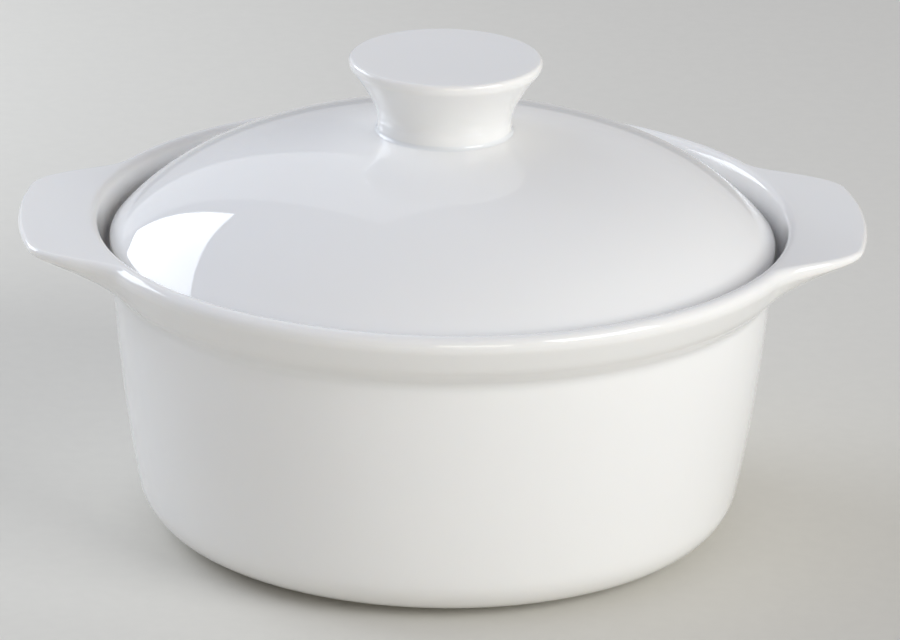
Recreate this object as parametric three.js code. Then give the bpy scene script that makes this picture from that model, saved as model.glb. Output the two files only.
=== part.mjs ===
// Individual casserole with lid, white glazed porcelain.
// Millimetres, +Z up. The origin is the centre of the foot ring on the table and the lugs lie along X.

import * as THREE from 'three';

// Pot body
const rimHeight = 62;
const bodyRadius = 63.4;
const baseRadius = 56.6;
const baseRound = 10;
const wallBow = 0.9;
const wall = 4.2;
const floorThickness = 5;
const floorRound = 7.5;

// Foot ring
const footHeight = 1;
const footWidth = 4;
const footRecess = 1.6;
const footSlope = 0.6;

// Collar and rim
const rimOverhang = 6.6;
const rimThickness = 3.4;
const rimRound = 1.7;
const rimFlat = 0.9;
const rimInnerRound = 1;
const collarHeight = 11.4;
const collarFlank = 7.9;
const collarTaper = 2.8;
const collarRound = 3;
const creaseRound = 3;

// Gallery that the lid sits in
const galleryDepth = 7.2;
const ledgeWidth = 5.3;
const galleryRound = 2;
const ledgeRound = 1.2;

// Lugs
const lugReach = 11.4;
const lugTipWidth = 36.6;
const lugRootWidth = 65.7;
const lugRound = 0.8;
const lugFlat = 0.6;

// Lid
const lidClearance = 0.5;
const seatGap = 0.3;
const lidThickness = 4;
const lidSeatWidth = 3.6;
const lidEdgeHeight = 2.9;
const lidEdgeRound = 1.3;
const lidSeatRound = 0.5;
const domeRise = 15.5;
const shoulderRise = 6.5;
const shoulderPower = 7;

// Knob
const slipJoint = 0.3;
const knobHeight = 13.9;
const knobRadius = 18.5;
const knobWaist = 12.8;
const knobFootLand = 0.2;
const knobFootEdge = 0.4;
const knobFootRound = 0.9;
const knobShank = 1;
const knobFlareBend = 3.5;
const knobLip = 1.9;
const knobLipRound = 1.1;
const knobLipUnderRound = 0.8;

// Facets
const potSegments = 96;
const lugCrowding = 0.45;
const lidSegments = 72;
const knobSegments = 48;
const smallArcSteps = 2;
const edgeArcSteps = 3;
const bigArcSteps = 5;
const wallSteps = 4;
const domeSteps = 10;
const seatSteps = 3;
const flareSteps = 6;
const underArcShare = 0.8;

// Sizes that follow from the ones above
const rimRadius = bodyRadius + rimOverhang;
const creaseHeight = rimHeight - collarHeight;
const collarCorner = rimHeight - collarFlank;
const collarRadius = rimRadius - collarTaper;
const ledgeHeight = rimHeight - galleryDepth;
const floorHeight = footHeight + floorThickness;
const mouthRadius = bodyRadius - wall;
const galleryRadius = mouthRadius + ledgeWidth;
const lidRadius = galleryRadius - lidClearance;
const lidCrown = lidEdgeHeight + domeRise + shoulderRise;
const knobFootRadius = knobWaist + knobFootRound + knobFootLand;

// A corner of a section: its radius from the axis, its height, and the radius and chords of its rounding.
function corner(r, z, round = 0, steps = smallArcSteps) {
  return { point: new THREE.Vector2(r, z), round, steps };
}

// The arc that rounds a corner, tangent to the sides that lead to it and away from it.
function cornerArc(before, at, after) {
  const back = before.point.clone().sub(at.point).normalize();
  const onward = after.point.clone().sub(at.point).normalize();
  const halfAngle = back.angleTo(onward) / 2;
  const bisector = back.clone().add(onward).normalize();
  const centre = at.point.clone().addScaledVector(bisector, at.round / Math.sin(halfAngle));
  const start = at.point.clone().addScaledVector(back, at.round / Math.tan(halfAngle));
  const turn = (Math.PI - 2 * halfAngle) * Math.sign(onward.cross(back));
  return Array.from({ length: at.steps + 1 }, (_, i) =>
    start.clone().rotateAround(centre, (turn * i) / at.steps));
}

// The points of a section, with every rounded corner drawn as its arc.
function sectionPoints(corners) {
  return corners.flatMap((at, i) =>
    at.round > 0 ? cornerArc(corners[i - 1], at, corners[i + 1]) : [at.point]);
}

// Radius of the pot's outer wall at a height: a straight taper with a shallow parabolic bow.
function wallRadius(z) {
  const down = (creaseHeight - z) / (creaseHeight - footHeight);
  return THREE.MathUtils.lerp(bodyRadius, baseRadius, down) + wallBow * (1 - (2 * down - 1) ** 2);
}

// Plain points along the wall from one height to another, set in from the outside, both ends left out.
function wallCorners(fromZ, toZ, inset) {
  return Array.from({ length: wallSteps - 1 }, (_, i) => {
    const z = THREE.MathUtils.lerp(fromZ, toZ, (i + 1) / wallSteps);
    return corner(wallRadius(z) - inset, z);
  });
}

// How far a lug is drawn out at an angle from its middle: 1 along its tip, easing to 0 where it leaves the rim.
function lugShare(angle) {
  const tipAngle = Math.asin(lugTipWidth / 2 / (rimRadius + lugReach));
  const rootAngle = Math.asin(lugRootWidth / 2 / rimRadius);
  return 1 - THREE.MathUtils.smoothstep(angle, tipAngle, rootAngle);
}

// The underside of the base and its foot ring, which stands just inside the rounding of the base.
function footCorners() {
  const outside = baseRadius - baseRound - footSlope;
  const inside = outside - footWidth;
  return [
    corner(0, footRecess),
    corner(inside - footSlope, footRecess),
    corner(inside, 0),
    corner(outside, 0),
    corner(outside + footSlope, footHeight),
  ];
}

// Radius of the rounding under the rim's edge. The rounding takes up a share of the edge's upright part,
// so it is wide where the collar is steep and tight under a lug.
function underRound(edgeRadius, edgeHeight, flat) {
  const lean = Math.atan2(edgeRadius - collarRadius, edgeHeight - collarCorner);
  return (underArcShare * flat) / Math.tan(lean / 2);
}

// The wall, the collar and the outer edge of the rim, which a lug draws out to a thinner edge of its own.
function outsideCorners(share) {
  const edgeRadius = rimRadius + lugReach * share;
  const edgeRound = THREE.MathUtils.lerp(rimRound, lugRound, share);
  const edgeFlat = THREE.MathUtils.lerp(rimFlat, lugFlat, share);
  const edgeHeight = rimHeight - edgeRound - edgeFlat;
  return [
    corner(baseRadius, footHeight, baseRound, bigArcSteps),
    ...wallCorners(footHeight, creaseHeight, 0),
    corner(bodyRadius, creaseHeight, creaseRound),
    corner(collarRadius, collarCorner, collarRound),
    corner(edgeRadius, edgeHeight, underRound(edgeRadius, edgeHeight, edgeFlat)),
    corner(edgeRadius, rimHeight, edgeRound, edgeArcSteps),
  ];
}

// The inside of the rim, the gallery, the inner wall and the floor, back to the axis.
function insideCorners() {
  return [
    corner(rimRadius - rimThickness, rimHeight, rimInnerRound),
    corner(galleryRadius, ledgeHeight, galleryRound),
    corner(mouthRadius, ledgeHeight, ledgeRound),
    ...wallCorners(ledgeHeight, floorHeight, wall),
    corner(wallRadius(floorHeight) - wall, floorHeight, floorRound, bigArcSteps),
    corner(0, floorHeight),
  ];
}

// Section of the pot at an angle from the middle of the nearer lug.
function potSection(angle) {
  return sectionPoints([...footCorners(), ...outsideCorners(lugShare(angle)), ...insideCorners()]);
}

// A closed surface whose section changes as it turns. Its facets are crowded towards the lugs.
function potGeometry() {
  const geometry = new THREE.LatheGeometry(potSection(Math.PI / 2), potSegments);
  const position = geometry.getAttribute('position');
  for (let i = 0; i <= potSegments; i += 1) {
    const even = (2 * Math.PI * i) / potSegments;
    const angle = even - (lugCrowding / 2) * Math.sin(2 * even);
    const fromLug = Math.atan2(Math.abs(Math.sin(angle)), Math.abs(Math.cos(angle)));
    const section = potSection(fromLug);
    section.forEach((p, j) =>
      position.setXYZ(i * section.length + j, p.x * Math.cos(angle), p.x * Math.sin(angle), p.y));
  }
  geometry.computeVertexNormals();
  return geometry;
}

// How far a dome has fallen below its crown at a share of its radius: a parabola, then a steeper shoulder.
function domeFall(share, crownPart, shoulderPart) {
  return crownPart * share ** 2 + shoulderPart * share ** shoulderPower;
}

// Plain points along a dome, crowded towards its edge, both ends left out.
function domeCorners(radius, crown, crownPart, shoulderPart) {
  return Array.from({ length: domeSteps - 1 }, (_, i) => {
    const share = Math.sin(((i + 1) / domeSteps) * (Math.PI / 2));
    return corner(radius * share, crown - domeFall(share, crownPart, shoulderPart));
  });
}

// Section of the lid above its seat: the hollow underneath, the flat seat, the rounded edge and the dome.
// The hollow's crown keeps the curve of the dome's.
function lidSection() {
  const hollowRadius = lidRadius - lidSeatWidth;
  const hollowCrown = lidCrown - lidThickness;
  const hollowRise = domeRise * (hollowRadius / lidRadius) ** 2;
  return sectionPoints([
    corner(0, hollowCrown),
    ...domeCorners(hollowRadius, hollowCrown, hollowRise, hollowCrown - hollowRise),
    corner(hollowRadius, 0, lidSeatRound),
    corner(lidRadius, 0, lidEdgeRound),
    corner(lidRadius, lidEdgeHeight, lidEdgeRound),
    ...domeCorners(lidRadius, lidCrown, domeRise, shoulderRise).reverse(),
    corner(0, lidCrown),
  ]);
}

// The knob's underside, which follows the dome one slip joint above it, from the axis to the foot's edge.
// Heights of the knob are measured from the crown of the lid.
function knobSeatCorners() {
  return Array.from({ length: seatSteps + 1 }, (_, i) => {
    const r = (knobFootRadius * i) / seatSteps;
    return corner(r, slipJoint - domeFall(r / lidRadius, domeRise, shoulderRise));
  });
}

// The knob's flare, from a height on its waist out to the underside of its lip.
function flareCorners(start) {
  const curve = new THREE.QuadraticBezierCurve(
    new THREE.Vector2(knobWaist, start),
    new THREE.Vector2(knobWaist, start + knobFlareBend),
    new THREE.Vector2(knobRadius, knobHeight - knobLip),
  );
  return curve.getPoints(flareSteps).slice(0, -1).map((p) => corner(p.x, p.y));
}

// Section of the knob: the seat, the foot, the flare, the lip and the flat top.
function knobSection() {
  const seat = knobSeatCorners();
  const footTop = seat[seatSteps].point.y + knobFootEdge;
  return sectionPoints([
    ...seat,
    corner(knobFootRadius, footTop),
    corner(knobWaist, footTop, knobFootRound, edgeArcSteps),
    ...flareCorners(footTop + knobFootRound + knobShank),
    corner(knobRadius, knobHeight - knobLip, knobLipUnderRound),
    corner(knobRadius, knobHeight, knobLipRound, edgeArcSteps),
    corner(0, knobHeight),
  ]);
}

// A section turned about the vertical axis.
function turned(section, segments) {
  return new THREE.LatheGeometry(section, segments).rotateX(Math.PI / 2);
}

// A named piece of glazed porcelain with a material of its own.
function porcelain(name, geometry) {
  const material = new THREE.MeshStandardMaterial({ color: 0xf3f2ef, roughness: 0.08, metalness: 0 });
  const mesh = new THREE.Mesh(geometry, material);
  mesh.name = name;
  return mesh;
}

const pot = porcelain('pot', potGeometry());
const lid = porcelain('lid', turned(lidSection(), lidSegments));
const knob = porcelain('knob', turned(knobSection(), knobSegments));

knob.position.z = lidCrown;

const lidGroup = new THREE.Group();
lidGroup.position.z = ledgeHeight + seatGap;
lidGroup.add(lid, knob);

const casserole = new THREE.Group();
casserole.add(pot, lidGroup);

export default casserole;
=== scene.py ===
"""Dresses the packed casserole: a glazed pot with lugs, a domed lid and a flared knob, on a pale floor."""

import math

import bpy
import numpy as np
from mathutils import Matrix, Vector


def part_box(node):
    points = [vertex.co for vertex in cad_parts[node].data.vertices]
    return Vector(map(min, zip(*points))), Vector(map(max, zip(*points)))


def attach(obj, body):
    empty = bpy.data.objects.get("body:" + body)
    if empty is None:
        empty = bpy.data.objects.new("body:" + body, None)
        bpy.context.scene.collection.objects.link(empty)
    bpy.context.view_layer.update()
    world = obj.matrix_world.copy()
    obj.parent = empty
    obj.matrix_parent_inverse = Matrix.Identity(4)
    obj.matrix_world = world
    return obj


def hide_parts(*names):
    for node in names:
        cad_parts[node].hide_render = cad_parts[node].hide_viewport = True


bl_info = {
    "name": "Individual casserole with lid",
    "version": (1, 0, 0),
    "blender": (4, 5, 0),
    "location": "View3D > Sidebar > Casserole",
    "description": "Builds a lidded porcelain casserole for one portion over its packed solids",
    "category": "Object",
}

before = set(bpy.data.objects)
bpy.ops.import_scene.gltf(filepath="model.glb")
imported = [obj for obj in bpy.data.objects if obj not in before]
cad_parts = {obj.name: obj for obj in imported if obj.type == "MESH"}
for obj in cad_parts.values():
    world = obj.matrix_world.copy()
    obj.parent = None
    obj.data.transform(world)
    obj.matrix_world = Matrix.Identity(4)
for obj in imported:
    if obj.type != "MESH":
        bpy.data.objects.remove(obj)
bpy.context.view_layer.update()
POT_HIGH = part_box("pot")[1]
LID_LOW, LID_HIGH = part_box("lid")
KNOB_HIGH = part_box("knob")[1]

MM = 0.001

# Columns round the axis, points along curves and steps in roundings
POT_COLUMNS = 232
LID_COLUMNS = 240
KNOB_COLUMNS = 160
WALL_POINTS = 8
DOME_POINTS = 22
FLARE_POINTS = 11
TINY_ARC = 2
SMALL_ARC = 3
PLAIN_ARC = 4
RIM_ARC = 5
SLIP_ARC = 6
WIDE_ARC = 8

# How sections are shared out and levelled
LUG_CROWDING = 0.45
ROUNDED_SHARE = 0.25
SKIRT_SINK_SHARE = 1.0 / 3.0
LEVELLING_ROUNDS = 2
LONGEST_SPAN = 6 * MM

# Radius of a bend at which the glaze is fully pooled or fully thin
GLAZE_BEND = 0.8 * MM

# Waves in the edge of a wiped ring, each by its size, its count and its start, and the edge's softness
WIPE_WAVES = ((0.16, 7.0, 0.0), (0.10, 19.0, 1.0))
WIPE_EDGE = (0.8, 1.2)

# Noise patterns, each by its waves for each metre and its layers of detail
CLOUDS = (26.0, 2.0)
GLAZE_WAVES = (70.0, 1.0)
GLOSS_HAZE = (180.0, 2.0)
PAPER_TOOTH = (300.0, 4.0)
CLAY_GRAIN = (1500.0, 3.0)
CLAY_TOOTH = (2400.0, 3.0)

# Parts of a noise's range that are used, and how far they change a tone or the gloss
NOISE_BAND = (0.3, 0.7)
CLOUD_BAND = (0.35, 0.7)
CLOUD_TONE = 0.98
GRAIN_TONE = 0.8
PAPER_TONE = 0.985
HAZE_RANGE = (0.8, 1.3)

# Specks: cells for each metre, edge of a speck in its cell and the share of cells without one
SPECK_CELLS = 110.0
SPECK_EDGE = (0.018, 0.034)
SPECK_CHANCE = (0.93, 0.94)

# Sockets of the Mix node for colours and for values
MIX_COLOURS = (6, 7)
MIX_COLOUR_OUT = 2
MIX_VALUES = (2, 3)
MIX_VALUE_OUT = 0

# Floor, room and camera
FLOOR_HALF = 6.0
FLOOR_POINTS = 9
PAPER_ROUGHNESS = 0.9
PAPER_GLOSS = 0.1
ABOVE_LEFT = (-1.0, 0.0, 1.0)
BACK = (0.0, 1.0, 0.0)
LEFT = (-1.0, 0.0, 0.0)
RIGHT = (1.0, 0.0, 0.0)
SENSOR_WIDTH = 36.0
CLIP_END = 100.0


# Property kinds


def length(name, description, default):
    """A size in metres."""
    return bpy.props.FloatProperty(
        name=name,
        description=description,
        default=default,
        min=0.0,
        precision=5,
        unit="LENGTH",
        subtype="DISTANCE",
    )


def angle(name, description, degrees):
    """An angle, given in degrees and kept in radians."""
    return bpy.props.FloatProperty(
        name=name, description=description, default=math.radians(degrees), unit="ROTATION", subtype="ANGLE"
    )


def share(name, description, default):
    """A plain factor from nothing to one."""
    return bpy.props.FloatProperty(
        name=name, description=description, default=default, min=0.0, max=1.0, subtype="FACTOR"
    )


def number(name, description, default):
    """A plain number."""
    return bpy.props.FloatProperty(name=name, description=description, default=default, min=0.0)


def colour(name, description, default):
    """A linear colour."""
    return bpy.props.FloatVectorProperty(
        name=name, description=description, default=default, size=3, min=0.0, max=1.0, subtype="COLOR"
    )


# Sizes and colours that a user would change


class PotSizes(bpy.types.PropertyGroup):
    """Sizes of the pot, its collar, its gallery, its foot ring and its lugs."""

    rim_height: length("Rim height", "Top of the rim above the table", POT_HIGH.z)
    rim_radius: length("Rim radius", "Outside of the rim between the lugs", POT_HIGH.y)
    lug_reach: length("Lug reach", "How far a lug stands out past the rim", POT_HIGH.x - POT_HIGH.y)
    lug_tip_width: length("Lug tip width", "Width of the full part of a lug", 36.6 * MM)
    lug_root_width: length("Lug root width", "Width where a lug leaves the rim", 65.7 * MM)
    lug_round: length("Lug rounding", "Radius of a lug's upper edge", 0.8 * MM)
    lug_flat: length("Lug edge flat", "Upright part of a lug's edge", 0.6 * MM)
    body_radius: length("Body radius", "Outside of the wall at the crease under the collar", 63.4 * MM)
    base_radius: length("Base radius", "Outside of the wall carried down to the base", 56.6 * MM)
    base_round: length("Base rounding", "Radius between the wall and the base", 10.0 * MM)
    wall_bow: length("Wall bow", "How far the middle of the wall swells", 0.9 * MM)
    wall: length("Wall thickness", "Thickness of the wall", 4.2 * MM)
    floor_thickness: length("Floor thickness", "Thickness of the floor", 5.0 * MM)
    floor_round: length("Floor rounding", "Radius between the inner wall and the floor", 7.5 * MM)
    foot_height: length("Foot height", "Base above the table outside the foot ring", 1.0 * MM)
    foot_width: length("Foot width", "Width of the foot ring", 4.0 * MM)
    foot_recess: length("Foot recess", "Base above the table inside the foot ring", 1.6 * MM)
    foot_slope: length("Foot slope", "How far the foot ring's sides lean", 0.6 * MM)
    foot_round: length("Foot rounding", "Radius of the foot ring's edges", 0.5 * MM)
    rim_thickness: length("Rim thickness", "Width of the top of the rim", 3.4 * MM)
    rim_round: length("Rim rounding", "Radius of the rim's outer edge", 1.7 * MM)
    rim_flat: length("Rim edge flat", "Upright part of the rim's edge", 0.9 * MM)
    rim_under_share: share("Rim under share", "Share of the edge's flat that its lower rounding takes", 0.9)
    rim_inner_round: length("Rim inner rounding", "Radius of the rim's inner edge", 2.0 * MM)
    collar_height: length("Collar height", "From the crease to the top of the rim", 11.4 * MM)
    collar_flank: length("Collar flank", "From the collar's lower corner to the top of the rim", 7.9 * MM)
    collar_taper: length("Collar taper", "How far the collar's lower corner stands in from the rim", 2.8 * MM)
    collar_round: length("Collar rounding", "From the collar's lower corner to its arc's start", 1.7 * MM)
    crease_round: length("Crease rounding", "Radius in the crease under the collar", 4.0 * MM)
    gallery_depth: length("Gallery depth", "From the top of the rim to the ledge for the lid", 7.2 * MM)
    ledge_width: length("Ledge width", "Width of the ledge that the lid sits on", 5.3 * MM)
    gallery_round: length("Gallery rounding", "Radius at the foot of the gallery", 2.0 * MM)
    ledge_round: length("Ledge rounding", "Radius of the ledge's inner edge", 1.2 * MM)


class LidSizes(bpy.types.PropertyGroup):
    """Sizes of the lid without its knob."""

    radius: length("Radius", "Outside of the lid", LID_HIGH.x)
    seat_height: length("Seat height", "Underside of the lid's seat above the table", LID_LOW.z)
    crown_height: length("Crown height", "Top of the dome above the table", LID_HIGH.z)
    thickness: length("Thickness", "Thickness of the dome at the crown", 4.0 * MM)
    seat_width: length("Seat width", "Width of the flat seat", 3.6 * MM)
    edge_height: length("Edge height", "Upright edge of the lid", 2.9 * MM)
    edge_round: length("Edge rounding", "Radius of the lid's edges", 1.3 * MM)
    seat_round: length("Seat rounding", "Radius of the seat's inner edge", 0.5 * MM)
    shoulder_rise: length("Shoulder rise", "Part of the dome's fall that is in its steep shoulder", 6.5 * MM)
    shoulder_power: number("Shoulder power", "How late the shoulder turns down", 7.0)


class KnobSizes(bpy.types.PropertyGroup):
    """Sizes of the knob."""

    radius: length("Radius", "Outside of the lip", KNOB_HIGH.x)
    top_height: length("Top height", "Flat top above the table", KNOB_HIGH.z)
    waist: length("Waist", "Radius of the narrowest part", 12.8 * MM)
    foot_round: length("Foot rounding", "Radius of the slip that runs out on to the lid", 0.9 * MM)
    shank: length("Shank", "Upright part between the foot and the flare", 1.3 * MM)
    flare_bend: length("Flare bend", "Height over which the flare leaves the waist", 3.5 * MM)
    lip: length("Lip", "Height of the lip", 1.7 * MM)
    lip_round: length("Lip rounding", "Radius of the lip's upper edge", 0.8 * MM)
    lip_under_round: length("Lip under rounding", "Radius of the lip's lower edge", 2.0 * MM)
    skirt: length("Skirt", "How far the slip is feathered out under the lid's glaze", 0.6 * MM)
    sink: length("Sink", "How deep the hidden seat lies in the lid", 0.5 * MM)


class GlazeFinish(bpy.types.PropertyGroup):
    """Colours and surface of the glazed porcelain."""

    body: colour("Body", "White porcelain seen through clear glaze", (0.885, 0.880, 0.862))
    pooled: colour("Pooled glaze", "Colour where the glaze gathers in a hollow", (0.820, 0.832, 0.832))
    thin: colour("Thin glaze", "Colour where the glaze runs thin over an edge", (0.900, 0.886, 0.856))
    bare: colour("Bare clay", "Wiped rings that were fired without glaze", (0.700, 0.640, 0.560))
    speck: colour("Speck", "Iron specks under the glaze", (0.260, 0.220, 0.180))
    cloudiness: share("Cloudiness", "Strength of the slow clouds in the body", 0.35)
    mottle: share("Mottle", "Strength of the tone of the grain in bare clay", 0.3)
    gloss_roughness: share("Gloss roughness", "Roughness of the fired glaze", 0.035)
    bare_roughness: share("Bare roughness", "Roughness of the bare clay", 0.75)
    waviness: length("Waviness", "Height of the slow waves in the glaze", 0.012 * MM)
    grain_height: length("Grain height", "Height of the grain in bare clay", 0.05 * MM)
    refraction: number("Refraction", "Refractive index of the glaze", 1.52)
    translucence: share("Translucence", "Share of light that travels inside the body", 0.12)
    glow: colour("Glow", "How far each colour of light travels inside the body", (1.0, 0.85, 0.7))
    glow_depth: length("Glow depth", "Farthest that light travels inside the body", 1.5 * MM)


class Softbox(bpy.types.PropertyGroup):
    """The large lamp behind the left lug, which the lid mirrors."""

    turn: angle("Turn", "Direction from the pot, from the right lug towards the back", 146.8)
    rise: angle("Rise", "Direction above the table", 22.8)
    swing: angle("Swing", "Turn of the lamp away from the pot, about the upright", 17.9)
    tip: angle("Tip", "Tilt of the lamp past the pot, downwards", 17.2)
    distance: length("Distance", "Distance from the pot", 0.583)
    width: length("Width", "Width of the lamp", 0.406)
    height: length("Height", "Height of the lamp", 0.272)
    power: number("Power", "Power in watts", 1.80)
    tint: colour("Tint", "Colour of the light", (0.85, 0.915, 1.0))


class KeyLamp(bpy.types.PropertyGroup):
    """The broad lamp in front on the right."""

    turn: angle("Turn", "Direction from the pot, from the right lug towards the back", -40.0)
    rise: angle("Rise", "Direction above the table", 24.0)
    swing: angle("Swing", "Turn of the lamp away from the pot, about the upright", 0.0)
    tip: angle("Tip", "Tilt of the lamp past the pot, downwards", 0.0)
    distance: length("Distance", "Distance from the pot", 1.50)
    width: length("Width", "Width of the lamp", 0.90)
    height: length("Height", "Height of the lamp", 0.80)
    power: number("Power", "Power in watts", 13.5)
    tint: colour("Tint", "Colour of the light", (0.93, 0.96, 1.0))


class FrontFill(bpy.types.PropertyGroup):
    """The weak lamp in front."""

    turn: angle("Turn", "Direction from the pot, from the right lug towards the back", -82.0)
    rise: angle("Rise", "Direction above the table", 12.0)
    swing: angle("Swing", "Turn of the lamp away from the pot, about the upright", 0.0)
    tip: angle("Tip", "Tilt of the lamp past the pot, downwards", 0.0)
    distance: length("Distance", "Distance from the pot", 1.50)
    width: length("Width", "Width of the lamp", 0.60)
    height: length("Height", "Height of the lamp", 0.45)
    power: number("Power", "Power in watts", 3.4)
    tint: colour("Tint", "Colour of the light", (1.0, 0.94, 0.80))


class BackCard(bpy.types.PropertyGroup):
    """The faint card beside the softbox, whose near edge the lid mirrors as a line."""

    turn: angle("Turn", "Direction from the pot, from the right lug towards the back", 111.2)
    rise: angle("Rise", "Direction above the table", 23.6)
    swing: angle("Swing", "Turn of the lamp away from the pot, about the upright", -23.8)
    tip: angle("Tip", "Tilt of the lamp past the pot, downwards", 31.4)
    distance: length("Distance", "Distance from the pot", 0.581)
    width: length("Width", "Width of the card", 0.18)
    height: length("Height", "Height of the card", 0.67)
    power: number("Power", "Power in watts", 0.16)
    tint: colour("Tint", "Colour of the light", (0.95, 0.98, 1.0))


class StudioSettings(bpy.types.PropertyGroup):
    """The floor, the room's light and the camera."""

    floor: colour("Floor", "Pale warm paper", (0.708, 0.688, 0.632))
    room_above: colour("Above", "Light from above on the left", (0.49, 0.51, 0.63))
    room_back: colour("Back", "Light from behind", (0.51, 0.50, 0.50))
    room_left: colour("Left", "Light from the left", (0.31, 0.32, 0.31))
    room_right: colour("Right", "Light from the right", (0.86, 0.83, 0.80))
    lens: number("Lens", "Focal length in millimetres on a sensor 36 mm wide", 280.0)
    camera_rise: angle("Camera rise", "Camera above the table", 19.91)
    camera_turn: angle("Camera turn", "Camera round the pot from straight in front", -2.4)
    camera_roll: angle("Camera roll", "Lean of the camera", 1.12)
    camera_distance: length("Camera distance", "Camera from the point it looks at", 1.3513)
    aim_height: length("Aim height", "Point that the camera looks at, above the table", 40.58 * MM)
    aim_right: length("Aim right", "Point that the camera looks at, right of the axis", 1.75 * MM)


# Sections


def corner(r, z, rounding=0.0, steps=PLAIN_ARC, even=False):
    """A corner of a section: its radius from the axis, its height and the radius of its rounding.

    Each is a number or one value for each column. In an even corner the rounding isn't a radius, but the
    distance from the corner at which its arc starts, so a nearly straight corner has as long an arc."""
    return r, z, rounding, steps, even


def unit(v):
    """Vectors scaled to length one."""
    return v / np.linalg.norm(v, axis=-1, keepdims=True)


def rounded(before, at, after, rounding, steps, even):
    """The arc that rounds a corner: a conic from side to side with the corner as its control point.

    The control point's weight is the sine of half the corner's angle, which makes the conic a true circle."""
    back = unit(before - at)
    onward = unit(after - at)
    half = 0.5 * np.arccos(np.clip((back * onward).sum(axis=-1, keepdims=True), -1.0, 1.0))
    reach = np.reshape(rounding, (-1, 1)) / (1.0 if even else np.tan(half))
    t = np.linspace(0.0, 1.0, steps + 1)[:, None, None]
    near, far = (1.0 - t) ** 2, t**2
    middle = 2.0 * t * (1.0 - t) * np.sin(half)
    sides = near * (at + back * reach) + far * (at + onward * reach)
    return (sides + middle * at) / (near + middle + far)


def section(corners, columns):
    """The points of a section for every column, with each rounded corner drawn as its arc."""
    points = [np.stack(np.broadcast_arrays(r, z, np.zeros(columns))[:2], axis=-1) for r, z, *_ in corners]
    rows = []
    for i, (_, _, rounding, steps, even) in enumerate(corners):
        if np.max(rounding) > 0.0:
            rows.append(rounded(points[i - 1], points[i], points[i + 1], rounding, steps, even))
        else:
            rows.append(points[i][None])
    return np.concatenate(rows)


def filled(line, longest):
    """The same line with long straight spans divided evenly, so that levelling acts only near their ends."""
    spans = np.linalg.norm(np.diff(line, axis=0), axis=-1).max(axis=1)
    rows = []
    for i, span in enumerate(spans):
        t = np.arange(math.ceil(max(span, longest) / longest))[:, None, None]
        rows.append(line[i] + (line[i + 1] - line[i]) * t / len(t))
    rows.append(line[-1:])
    return np.concatenate(rows)


def levelled(line, rounds):
    """The line as a melted glaze levels it: a cubic spline over its points.

    Each round keeps six eighths of a point with an eighth of each neighbour, and adds a point halfway along
    each span."""
    for _ in range(rounds):
        kept = line.copy()
        kept[1:-1] = (line[:-2] + 6.0 * line[1:-1] + line[2:]) / 8.0
        woven = np.empty((2 * len(line) - 1,) + line.shape[1:])
        woven[0::2] = kept
        woven[1::2] = (line[:-1] + line[1:]) / 2.0
        line = woven
    return line


def glazed_line(corners, columns):
    """A finished section: rounded, filled and levelled."""
    return levelled(filled(section(corners, columns), LONGEST_SPAN), LEVELLING_ROUNDS)


def smooth_step(value, start, end):
    """Zero before start, one after end, and three squares less two cubes of the share between."""
    t = np.clip((value - start) / (end - start), 0.0, 1.0)
    return t * t * (3.0 - 2.0 * t)


def turns(columns):
    """Even turns about the axis."""
    return np.arange(columns) * 2.0 * math.pi / columns


# The pot's section


def wall_radius(pot, z):
    """Outside of the wall at a height: a straight taper plus a shallow parabola that is highest halfway."""
    crease = pot.rim_height - pot.collar_height
    down = (crease - z) / (crease - pot.foot_height)
    taper = pot.body_radius + (pot.base_radius - pot.body_radius) * down
    return taper + pot.wall_bow * (1.0 - (2.0 * down - 1.0) ** 2)


def wall_corners(pot, start, end, inset):
    """Plain corners along the wall between two heights, set in from the outside."""
    heights = np.linspace(start, end, WALL_POINTS)[:-1]
    return [corner(wall_radius(pot, z) - inset, z) for z in heights]


def lug_share(pot, turn):
    """How far the lugs are drawn out at a turn: one along the tip, easing to nothing at the root."""
    from_lug = np.arctan2(np.abs(np.sin(turn)), np.abs(np.cos(turn)))
    tip = math.asin(pot.lug_tip_width / 2.0 / (pot.rim_radius + pot.lug_reach))
    root = math.asin(pot.lug_root_width / 2.0 / pot.rim_radius)
    return 1.0 - smooth_step(from_lug, tip, root)


def foot_corners(pot):
    """The underside and the foot ring, from the axis outwards."""
    outside = pot.base_radius - pot.base_round - pot.foot_slope
    inside = outside - pot.foot_width
    return [
        corner(0.0, pot.foot_recess),
        corner(inside - pot.foot_slope, pot.foot_recess, pot.foot_round, SMALL_ARC),
        corner(inside, 0.0, pot.foot_round, SMALL_ARC),
        corner(outside, 0.0, pot.foot_round, SMALL_ARC),
        corner(outside + pot.foot_slope, pot.foot_height, pot.foot_slope / 2.0, TINY_ARC),
    ]


def outside_corners(pot, drawn):
    """The wall, the collar and the edge of the rim, which the lugs draw out to a thinner edge."""
    crease = pot.rim_height - pot.collar_height
    first = pot.foot_height + (crease - pot.foot_height) * ROUNDED_SHARE
    collar_radius = pot.rim_radius - pot.collar_taper
    collar_corner = pot.rim_height - pot.collar_flank
    edge = pot.rim_radius + pot.lug_reach * drawn
    edge_round = pot.rim_round + (pot.lug_round - pot.rim_round) * drawn
    edge_flat = pot.rim_flat + (pot.lug_flat - pot.rim_flat) * drawn
    under = pot.rim_height - edge_round - edge_flat
    return [
        corner(pot.base_radius, pot.foot_height, pot.base_round, WIDE_ARC),
        *wall_corners(pot, first, crease, 0.0),
        corner(pot.body_radius, crease, pot.crease_round),
        corner(collar_radius, collar_corner, pot.collar_round, even=True),
        corner(edge, under, edge_flat * pot.rim_under_share, even=True),
        corner(edge, pot.rim_height, edge_round, RIM_ARC),
    ]


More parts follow.
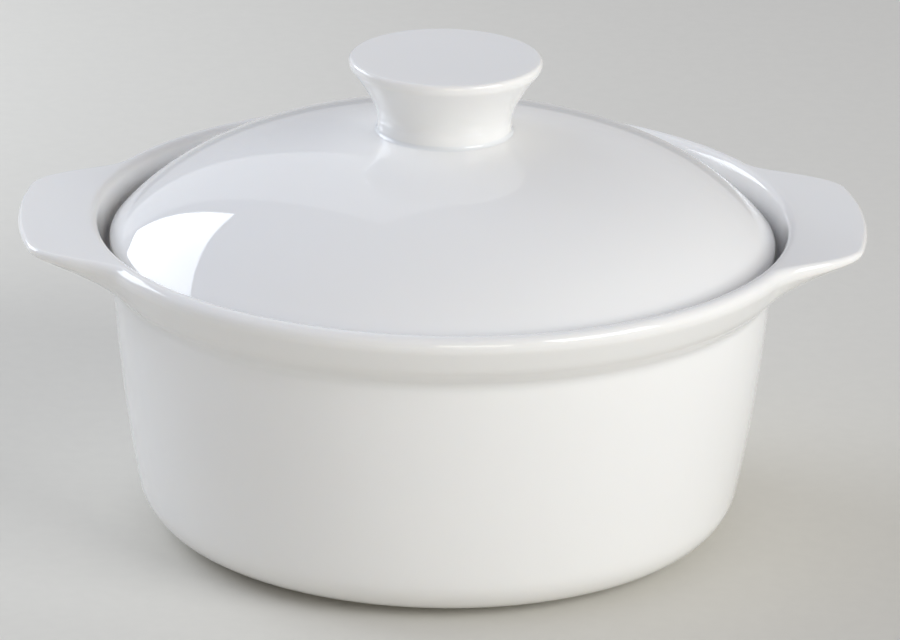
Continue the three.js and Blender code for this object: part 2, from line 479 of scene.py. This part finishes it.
def inside_corners(pot):
    """The inner edge of the rim, the gallery, the inner wall and the floor, back to the axis."""
    ledge = pot.rim_height - pot.gallery_depth
    mouth = pot.body_radius - pot.wall
    floor = pot.foot_height + pot.floor_thickness
    last = floor + (ledge - floor) * ROUNDED_SHARE
    return [
        corner(pot.rim_radius - pot.rim_thickness, pot.rim_height, pot.rim_inner_round),
        corner(mouth + pot.ledge_width, ledge, pot.gallery_round),
        corner(mouth, ledge, pot.ledge_round),
        *wall_corners(pot, ledge, last, pot.wall)[1:],
        corner(wall_radius(pot, last) - pot.wall, last),
        corner(wall_radius(pot, floor) - pot.wall, floor, pot.floor_round, WIDE_ARC),
        corner(0.0, floor),
    ]


# The lid's and the knob's sections


def crown_fall(lid):
    """Part of the dome's fall that is in its parabola and not in its shoulder."""
    return lid.crown_height - lid.seat_height - lid.edge_height - lid.shoulder_rise


def dome_fall(lid, r):
    """Fall of the dome below its crown at a radius: a parabola, plus a high power that turns down late."""
    part = r / lid.radius
    return crown_fall(lid) * part**2 + lid.shoulder_rise * part**lid.shoulder_power


def dome_parts():
    """Shares of the radius from the axis to the edge, closer together towards the edge."""
    return np.sin(np.linspace(0.0, math.pi / 2.0, DOME_POINTS))


def dome_corners(lid):
    """Plain corners over the dome from its shoulder to its crown, both ends left out."""
    radii = [lid.radius * part for part in dome_parts()[1:-1][::-1]]
    return [corner(r, lid.crown_height - dome_fall(lid, r)) for r in radii]


def hollow_corners(lid):
    """Plain corners under the dome from the axis to the seat, a parabola and a shoulder of their own."""
    hollow = lid.radius - lid.seat_width
    depth = lid.crown_height - lid.thickness - lid.seat_height
    crown_part = crown_fall(lid) * (hollow / lid.radius) ** 2
    parts = dome_parts()[:-1]
    falls = crown_part * parts**2 + (depth - crown_part) * parts**lid.shoulder_power
    return [corner(hollow * part, lid.seat_height + depth - fall) for part, fall in zip(parts, falls)]


def lid_corners(lid):
    """The hollow, the flat seat, the rounded edge and the dome."""
    edge_top = lid.seat_height + lid.edge_height
    return [
        *hollow_corners(lid),
        corner(lid.radius - lid.seat_width, lid.seat_height, lid.seat_round, SMALL_ARC),
        corner(lid.radius, lid.seat_height, lid.edge_round),
        corner(lid.radius, edge_top, lid.edge_round),
        *dome_corners(lid),
        corner(0.0, lid.crown_height),
    ]


def flare_corners(knob, start):
    """The flare from the waist to the lip: a parabola that leaves the waist upright."""
    t = np.linspace(0.0, 1.0, FLARE_POINTS)[:-1]
    under_lip = knob.top_height - knob.lip
    r = knob.waist * (1.0 - t**2) + knob.radius * t**2
    z = start * (1.0 - t) ** 2 + 2.0 * t * (1.0 - t) * (start + knob.flare_bend) + under_lip * t**2
    return [corner(a, b) for a, b in zip(r, z)]


def knob_corners(knob, lid):
    """The hidden seat in the lid, the slip feathered on to the dome, the flare, the lip and the flat top."""

    def on_dome(r, sink):
        return corner(r, lid.crown_height - dome_fall(lid, r) - sink)

    feather = knob.waist + knob.foot_round
    foot = lid.crown_height - dome_fall(lid, knob.waist)
    return [
        on_dome(0.0, knob.sink),
        on_dome(feather, knob.sink),
        on_dome(feather + knob.skirt, knob.sink * SKIRT_SINK_SHARE),
        corner(knob.waist, foot, knob.foot_round, SLIP_ARC),
        *flare_corners(knob, foot + knob.foot_round + knob.shank),
        corner(knob.radius, knob.top_height - knob.lip, knob.lip_under_round, SMALL_ARC),
        corner(knob.radius, knob.top_height, knob.lip_round),
        corner(0.0, knob.top_height),
    ]


# Meshes


def turned_mesh(name, line, turn):
    """A closed skin: at each turn a section point goes to its radius times cosine and sine, and its height.

    The first and last rows lie on the axis and become single points, and the last column joins the first."""
    r, z = line[..., 0], line[..., 1]
    grid = np.stack([r * np.cos(turn), r * np.sin(turn), z], axis=-1)
    rows, columns = r.shape
    points = np.concatenate([grid[0, :1], grid[1:-1].reshape(-1, 3), grid[-1, :1]])
    here = 1 + np.arange((rows - 2) * columns).reshape(rows - 2, columns)
    beside = np.roll(here, -1, axis=1)
    quads = np.stack([here[:-1], beside[:-1], beside[1:], here[1:]], axis=-1).reshape(-1, 4)
    first = np.stack([np.zeros(columns, int), beside[0], here[0]], axis=-1)
    last = np.stack([here[-1], beside[-1], np.full(columns, len(points) - 1)], axis=-1)
    mesh = bpy.data.meshes.new(name)
    mesh.from_pydata(points.tolist(), [], quads.tolist() + first.tolist() + last.tolist())
    mesh.shade_smooth()
    return mesh


def paint(mesh, name, values):
    """Keeps one number for each section point as an attribute of the mesh, poles once each."""
    flat = np.concatenate([values[0, :1], values[1:-1].ravel(), values[-1, :1]])
    mesh.attributes.new(name, "FLOAT", "POINT").data.foreach_set("value", flat.astype(np.float32))


def bend(line):
    """How sharply a section turns: its change of heading for each metre, negative in hollows."""
    step = np.diff(line, axis=0)
    run = np.linalg.norm(step, axis=-1)
    heading = np.unwrap(np.arctan2(step[..., 1], step[..., 0]), axis=0)
    turn = np.zeros(line.shape[:2])
    turn[1:-1] = 2.0 * np.diff(heading, axis=0) / (run[1:] + run[:-1])
    return turn


def wiped(height, limit, turn):
    """One on clay that was wiped bare up to a height, and nothing above it, with a wandering line between."""
    wander = 1.0 + sum(size * np.sin(count * turn + start) for size, count, start in WIPE_WAVES)
    low, high = WIPE_EDGE
    return 1.0 - smooth_step(height, low * limit * wander, high * limit * wander)


def piece(name, line, turn, bare, body, node, material):
    """A finished piece: its skin, its painted glaze, its material and its place in the frame."""
    mesh = turned_mesh(name, line, turn)
    turning = bend(line) * GLAZE_BEND
    paint(mesh, "pooled", np.clip(-turning, 0.0, 1.0))
    paint(mesh, "thin", np.clip(turning, 0.0, 1.0))
    paint(mesh, "bare", bare)
    mesh.materials.append(material)
    obj = bpy.data.objects.new(name, mesh)
    bpy.context.scene.collection.objects.link(obj)
    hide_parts(node)
    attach(obj, body)
    return obj


# Glaze


def add(tree, kind, **values):
    """A node with named settings, and with socket values where a name is a socket's."""
    made = tree.nodes.new(kind)
    for name, value in values.items():
        label = name.replace("_", " ").title()
        if label in made.inputs:
            made.inputs[label].default_value = value
        else:
            setattr(made, name, value)
    return made


def toned(tone, factor):
    """A colour made darker by a factor."""
    return [factor * part for part in tone]


def mixed(tree, factor, first, second):
    """A colour mixed by a factor socket from a socket or colour towards another."""
    made = add(tree, "ShaderNodeMix", data_type="RGBA")
    tree.links.new(factor, made.inputs["Factor"])
    for value, index in zip((first, second), MIX_COLOURS):
        if isinstance(value, bpy.types.NodeSocket):
            tree.links.new(value, made.inputs[index])
        else:
            made.inputs[index].default_value = (*value, 1.0)
    return made.outputs[MIX_COLOUR_OUT]


def ranged(tree, value, band, result):
    """A value moved smoothly from a band of values to a range of results."""
    made = add(tree, "ShaderNodeMapRange", interpolation_type="SMOOTHSTEP")
    tree.links.new(value, made.inputs["Value"])
    made.inputs["From Min"].default_value, made.inputs["From Max"].default_value = band
    made.inputs["To Min"].default_value, made.inputs["To Max"].default_value = result
    return made.outputs["Result"]


def noise(tree, place, pattern):
    """Soft noise in a pattern of waves and layers."""
    scale, detail = pattern
    made = add(tree, "ShaderNodeTexNoise", scale=scale, detail=detail)
    tree.links.new(place, made.inputs["Vector"])
    return made.outputs["Fac"]


def painted(tree, name):
    """An attribute of the mesh as a factor."""
    return add(tree, "ShaderNodeAttribute", attribute_name=name).outputs["Fac"]


def times(tree, first, second):
    """The product of two sockets."""
    made = add(tree, "ShaderNodeMath", operation="MULTIPLY")
    tree.links.new(first, made.inputs[0])
    tree.links.new(second, made.inputs[1])
    return made.outputs["Value"]


def specks(tree, place):
    """One inside a few tiny round specks: near the middle of a cell, in the few cells that chance picks."""
    cells = add(tree, "ShaderNodeTexVoronoi", scale=SPECK_CELLS)
    tree.links.new(place, cells.inputs["Vector"])
    near = ranged(tree, cells.outputs["Distance"], SPECK_EDGE, (1.0, 0.0))
    parts = add(tree, "ShaderNodeSeparateColor")
    tree.links.new(cells.outputs["Color"], parts.inputs["Color"])
    picked = ranged(tree, parts.outputs["Red"], SPECK_CHANCE, (0.0, 1.0))
    return times(tree, near, picked)


def glaze_colour(tree, place, finish, bare):
    """White body with slow clouds and specks, cooler where the glaze pools and warmer where it is thin.

    Bare clay with a darker grain shows where the glaze was wiped off."""
    clouds = ranged(tree, noise(tree, place, CLOUDS), CLOUD_BAND, (0.0, finish.cloudiness))
    body = mixed(tree, clouds, finish.body, toned(finish.body, CLOUD_TONE))
    pooled = mixed(tree, painted(tree, "pooled"), body, finish.pooled)
    thin = mixed(tree, painted(tree, "thin"), pooled, finish.thin)
    specked = mixed(tree, specks(tree, place), thin, finish.speck)
    grain = ranged(tree, noise(tree, place, CLAY_GRAIN), NOISE_BAND, (0.0, finish.mottle))
    clay = mixed(tree, grain, finish.bare, toned(finish.bare, GRAIN_TONE))
    return mixed(tree, bare, specked, clay)


def glaze_bump(tree, place, finish, bare):
    """Slow waves of the levelled glaze, then the grain of the bare clay."""
    waves = add(tree, "ShaderNodeBump", strength=1.0, distance=finish.waviness)
    tree.links.new(noise(tree, place, GLAZE_WAVES), waves.inputs["Height"])
    grain = add(tree, "ShaderNodeBump", distance=finish.grain_height)
    tree.links.new(bare, grain.inputs["Strength"])
    tree.links.new(noise(tree, place, CLAY_TOOTH), grain.inputs["Height"])
    tree.links.new(waves.outputs["Normal"], grain.inputs["Normal"])
    return grain.outputs["Normal"]


def glaze_roughness(tree, place, finish, bare):
    """The gloss of the glaze, hazed a little, and the dry surface of the bare clay."""
    least, most = (finish.gloss_roughness * factor for factor in HAZE_RANGE)
    gloss = ranged(tree, noise(tree, place, GLOSS_HAZE), NOISE_BAND, (least, most))
    made = add(tree, "ShaderNodeMix", data_type="FLOAT")
    glazed, dry = MIX_VALUES
    tree.links.new(bare, made.inputs["Factor"])
    tree.links.new(gloss, made.inputs[glazed])
    made.inputs[dry].default_value = finish.bare_roughness
    return made.outputs[MIX_VALUE_OUT]


def glazed_porcelain(name, finish):
    """Clear gloss glaze over white porcelain, wiped bare where the piece stands."""
    material = bpy.data.materials.new(name)
    material.use_nodes = True
    tree = material.node_tree
    shader = tree.nodes["Principled BSDF"]
    place = add(tree, "ShaderNodeTexCoord").outputs["Object"]
    bare = painted(tree, "bare")
    shader.inputs["IOR"].default_value = finish.refraction
    shader.inputs["Subsurface Weight"].default_value = finish.translucence
    shader.inputs["Subsurface Radius"].default_value = finish.glow
    shader.inputs["Subsurface Scale"].default_value = finish.glow_depth
    tree.links.new(glaze_colour(tree, place, finish, bare), shader.inputs["Base Color"])
    tree.links.new(glaze_roughness(tree, place, finish, bare), shader.inputs["Roughness"])
    tree.links.new(glaze_bump(tree, place, finish, bare), shader.inputs["Normal"])
    return material


# Stage


def floor_mesh():
    """A flat square of floor under the foot ring: two parameters from minus half its width to plus half."""
    across = np.linspace(-FLOOR_HALF, FLOOR_HALF, FLOOR_POINTS)
    x, y = np.meshgrid(across, across, indexing="xy")
    points = np.stack([x, y, np.zeros_like(x)], axis=-1).reshape(-1, 3)
    here = np.arange(points.shape[0]).reshape(x.shape)
    quads = np.stack([here[:-1, :-1], here[:-1, 1:], here[1:, 1:], here[1:, :-1]], axis=-1).reshape(-1, 4)
    mesh = bpy.data.meshes.new("studio_floor")
    mesh.from_pydata(points.tolist(), [], quads.tolist())
    return mesh


def floor_paper(settings):
    """Matt pale paper with a very faint tooth."""
    material = bpy.data.materials.new("studio_paper")
    material.use_nodes = True
    tree = material.node_tree
    shader = tree.nodes["Principled BSDF"]
    shader.inputs["Roughness"].default_value = PAPER_ROUGHNESS
    shader.inputs["Specular IOR Level"].default_value = PAPER_GLOSS
    place = add(tree, "ShaderNodeTexCoord").outputs["Object"]
    tooth = ranged(tree, noise(tree, place, PAPER_TOOTH), NOISE_BAND, (0.0, 1.0))
    paper = mixed(tree, tooth, settings.floor, toned(settings.floor, PAPER_TONE))
    tree.links.new(paper, shader.inputs["Base Color"])
    return material


def add_floor(settings):
    """The floor, which isn't part of the casserole."""
    mesh = floor_mesh()
    mesh.materials.append(floor_paper(settings))
    obj = bpy.data.objects.new("studio_floor", mesh)
    bpy.context.scene.collection.objects.link(obj)


def bearing(turn, rise):
    """The direction that lies at a turn round the upright and a rise above the table."""
    flat = math.cos(rise)
    return Vector((flat * math.cos(turn), flat * math.sin(turn), math.sin(rise)))


def add_lamp(name, lamp):
    """A rectangular lamp in a direction from the pot, facing the pot or swung and tipped past it."""
    light = bpy.data.lights.new(name, "AREA")
    light.shape = "RECTANGLE"
    light.size = lamp.width
    light.size_y = lamp.height
    light.energy = lamp.power
    light.color = lamp.tint
    obj = bpy.data.objects.new(name, light)
    obj.location = bearing(lamp.turn, lamp.rise) * lamp.distance + Vector((0.0, 0.0, POT_HIGH.z))
    behind = bearing(lamp.turn - lamp.swing, lamp.rise + lamp.tip)
    obj.rotation_euler = behind.to_track_quat("Z", "Y").to_euler()
    bpy.context.scene.collection.objects.link(obj)


def room_light(tree, place, towards, tone):
    """Light from one part of the room: its tone times the square of a direction's share towards that part."""
    along = add(tree, "ShaderNodeVectorMath", operation="DOT_PRODUCT")
    tree.links.new(place, along.inputs[0])
    along.inputs[1].default_value = Vector(towards).normalized()
    lit = add(tree, "ShaderNodeMath", operation="MAXIMUM")
    tree.links.new(along.outputs["Value"], lit.inputs[0])
    lit.inputs[1].default_value = 0.0
    light = add(tree, "ShaderNodeVectorMath", operation="SCALE")
    light.inputs[0].default_value = tone
    tree.links.new(times(tree, lit.outputs["Value"], lit.outputs["Value"]), light.inputs["Scale"])
    return light.outputs["Vector"]


def add_room(settings):
    """Soft light from the room, the sum of four parts of it."""
    world = bpy.data.worlds.new("studio_room")
    world.use_nodes = True
    tree = world.node_tree
    place = add(tree, "ShaderNodeTexCoord").outputs["Generated"]
    total = room_light(tree, place, ABOVE_LEFT, settings.room_above)
    tones = ((BACK, settings.room_back), (LEFT, settings.room_left), (RIGHT, settings.room_right))
    for towards, tone in tones:
        both = add(tree, "ShaderNodeVectorMath", operation="ADD")
        tree.links.new(total, both.inputs[0])
        tree.links.new(room_light(tree, place, towards, tone), both.inputs[1])
        total = both.outputs["Vector"]
    tree.links.new(total, tree.nodes["Background"].inputs["Color"])
    bpy.context.scene.world = world


def add_camera(settings):
    """The camera, looking down on the pot from the front, leaning a little."""
    back = Vector((0.0, -math.cos(settings.camera_rise), math.sin(settings.camera_rise)))
    level_up = Vector((0.0, math.sin(settings.camera_rise), math.cos(settings.camera_rise)))
    level_right = Vector((1.0, 0.0, 0.0))
    lean, upright = math.sin(settings.camera_roll), math.cos(settings.camera_roll)
    right = upright * level_right + lean * level_up
    up = upright * level_up - lean * level_right
    eye = Vector((settings.aim_right, 0.0, settings.aim_height)) + back * settings.camera_distance
    view = Matrix((right, up, back)).transposed().to_4x4()
    view.translation = eye
    data = bpy.data.cameras.new("studio_camera")
    data.sensor_width = SENSOR_WIDTH
    data.lens = settings.lens
    data.clip_end = CLIP_END
    obj = bpy.data.objects.new("studio_camera", data)
    obj.matrix_world = Matrix.Rotation(settings.camera_turn, 4, "Z") @ view
    bpy.context.scene.collection.objects.link(obj)
    bpy.context.scene.camera = obj


# Operators


class MakePot(bpy.types.Operator):
    """Makes the glazed pot with its lugs"""

    bl_idname = "casserole.make_pot"
    bl_label = "Make pot"

    def execute(self, context):
        pot = context.scene.casserole_pot
        even = turns(POT_COLUMNS)
        turn = even - LUG_CROWDING / 2.0 * np.sin(2.0 * even)
        drawn = lug_share(pot, turn)
        corners = [*foot_corners(pot), *outside_corners(pot, drawn), *inside_corners(pot)]
        line = glazed_line(corners, POT_COLUMNS)
        bare = wiped(line[..., 1], pot.foot_height / 2.0, turn)
        material = glazed_porcelain("pot_glaze", context.scene.casserole_glaze)
        piece("glazed_pot", line, turn, bare, "pot", "pot", material)
        return {"FINISHED"}


class MakeLid(bpy.types.Operator):
    """Makes the glazed lid with its hollow and its bare seat"""

    bl_idname = "casserole.make_lid"
    bl_label = "Make lid"

    def execute(self, context):
        lid = context.scene.casserole_lid
        turn = turns(LID_COLUMNS)
        line = glazed_line(lid_corners(lid), LID_COLUMNS)
        bare = wiped(line[..., 1] - lid.seat_height, lid.seat_round, turn)
        material = glazed_porcelain("lid_glaze", context.scene.casserole_glaze)
        piece("glazed_lid", line, turn, bare, "lid", "lid", material)
        return {"FINISHED"}


class MakeKnob(bpy.types.Operator):
    """Makes the flared knob with the slip that joins it to the lid"""

    bl_idname = "casserole.make_knob"
    bl_label = "Make knob"

    def execute(self, context):
        scene = context.scene
        turn = turns(KNOB_COLUMNS)
        line = glazed_line(knob_corners(scene.casserole_knob, scene.casserole_lid), KNOB_COLUMNS)
        bare = np.zeros(line.shape[:2])
        material = glazed_porcelain("knob_glaze", scene.casserole_glaze)
        piece("glazed_knob", line, turn, bare, "lid", "knob", material)
        return {"FINISHED"}


class SetStage(bpy.types.Operator):
    """Sets the floor, the lamps, the room's light and the camera"""

    bl_idname = "casserole.set_stage"
    bl_label = "Set stage"

    def execute(self, context):
        scene = context.scene
        scene.view_settings.view_transform = "Standard"
        add_floor(scene.casserole_studio)
        add_room(scene.casserole_studio)
        add_lamp("softbox", scene.casserole_softbox)
        add_lamp("key_lamp", scene.casserole_key)
        add_lamp("front_fill", scene.casserole_fill)
        add_lamp("back_card", scene.casserole_card)
        add_camera(scene.casserole_studio)
        return {"FINISHED"}


OPERATORS = (MakePot, MakeLid, MakeKnob, SetStage)
GROUPS = {
    "casserole_pot": PotSizes,
    "casserole_lid": LidSizes,
    "casserole_knob": KnobSizes,
    "casserole_glaze": GlazeFinish,
    "casserole_softbox": Softbox,
    "casserole_key": KeyLamp,
    "casserole_fill": FrontFill,
    "casserole_card": BackCard,
    "casserole_studio": StudioSettings,
}


class CasserolePanel(bpy.types.Panel):
    """Lists the casserole's pieces and their sizes"""

    bl_idname = "VIEW3D_PT_casserole"
    bl_label = "Casserole"
    bl_space_type = "VIEW_3D"
    bl_region_type = "UI"
    bl_category = "Casserole"

    def draw(self, context):
        for operator in OPERATORS:
            self.layout.operator(operator.bl_idname)
        for name, group in GROUPS.items():
            box = self.layout.box()
            box.label(text=group.__doc__)
            for field in group.__annotations__:
                box.prop(getattr(context.scene, name), field)


def register():
    """Adds the property groups, the operators and the panel."""
    for name, group in GROUPS.items():
        bpy.utils.register_class(group)
        setattr(bpy.types.Scene, name, bpy.props.PointerProperty(type=group))
    for kind in (*OPERATORS, CasserolePanel):
        bpy.utils.register_class(kind)


def unregister():
    """Takes them out again."""
    for kind in (CasserolePanel, *reversed(OPERATORS)):
        bpy.utils.unregister_class(kind)
    for name, group in GROUPS.items():
        delattr(bpy.types.Scene, name)
        bpy.utils.unregister_class(group)


def main():
    """Makes the casserole piece by piece and sets the stage."""
    register()
    bpy.ops.casserole.make_pot()
    bpy.ops.casserole.make_lid()
    bpy.ops.casserole.make_knob()
    bpy.ops.casserole.set_stage()


if __name__ == "__main__":
    main()
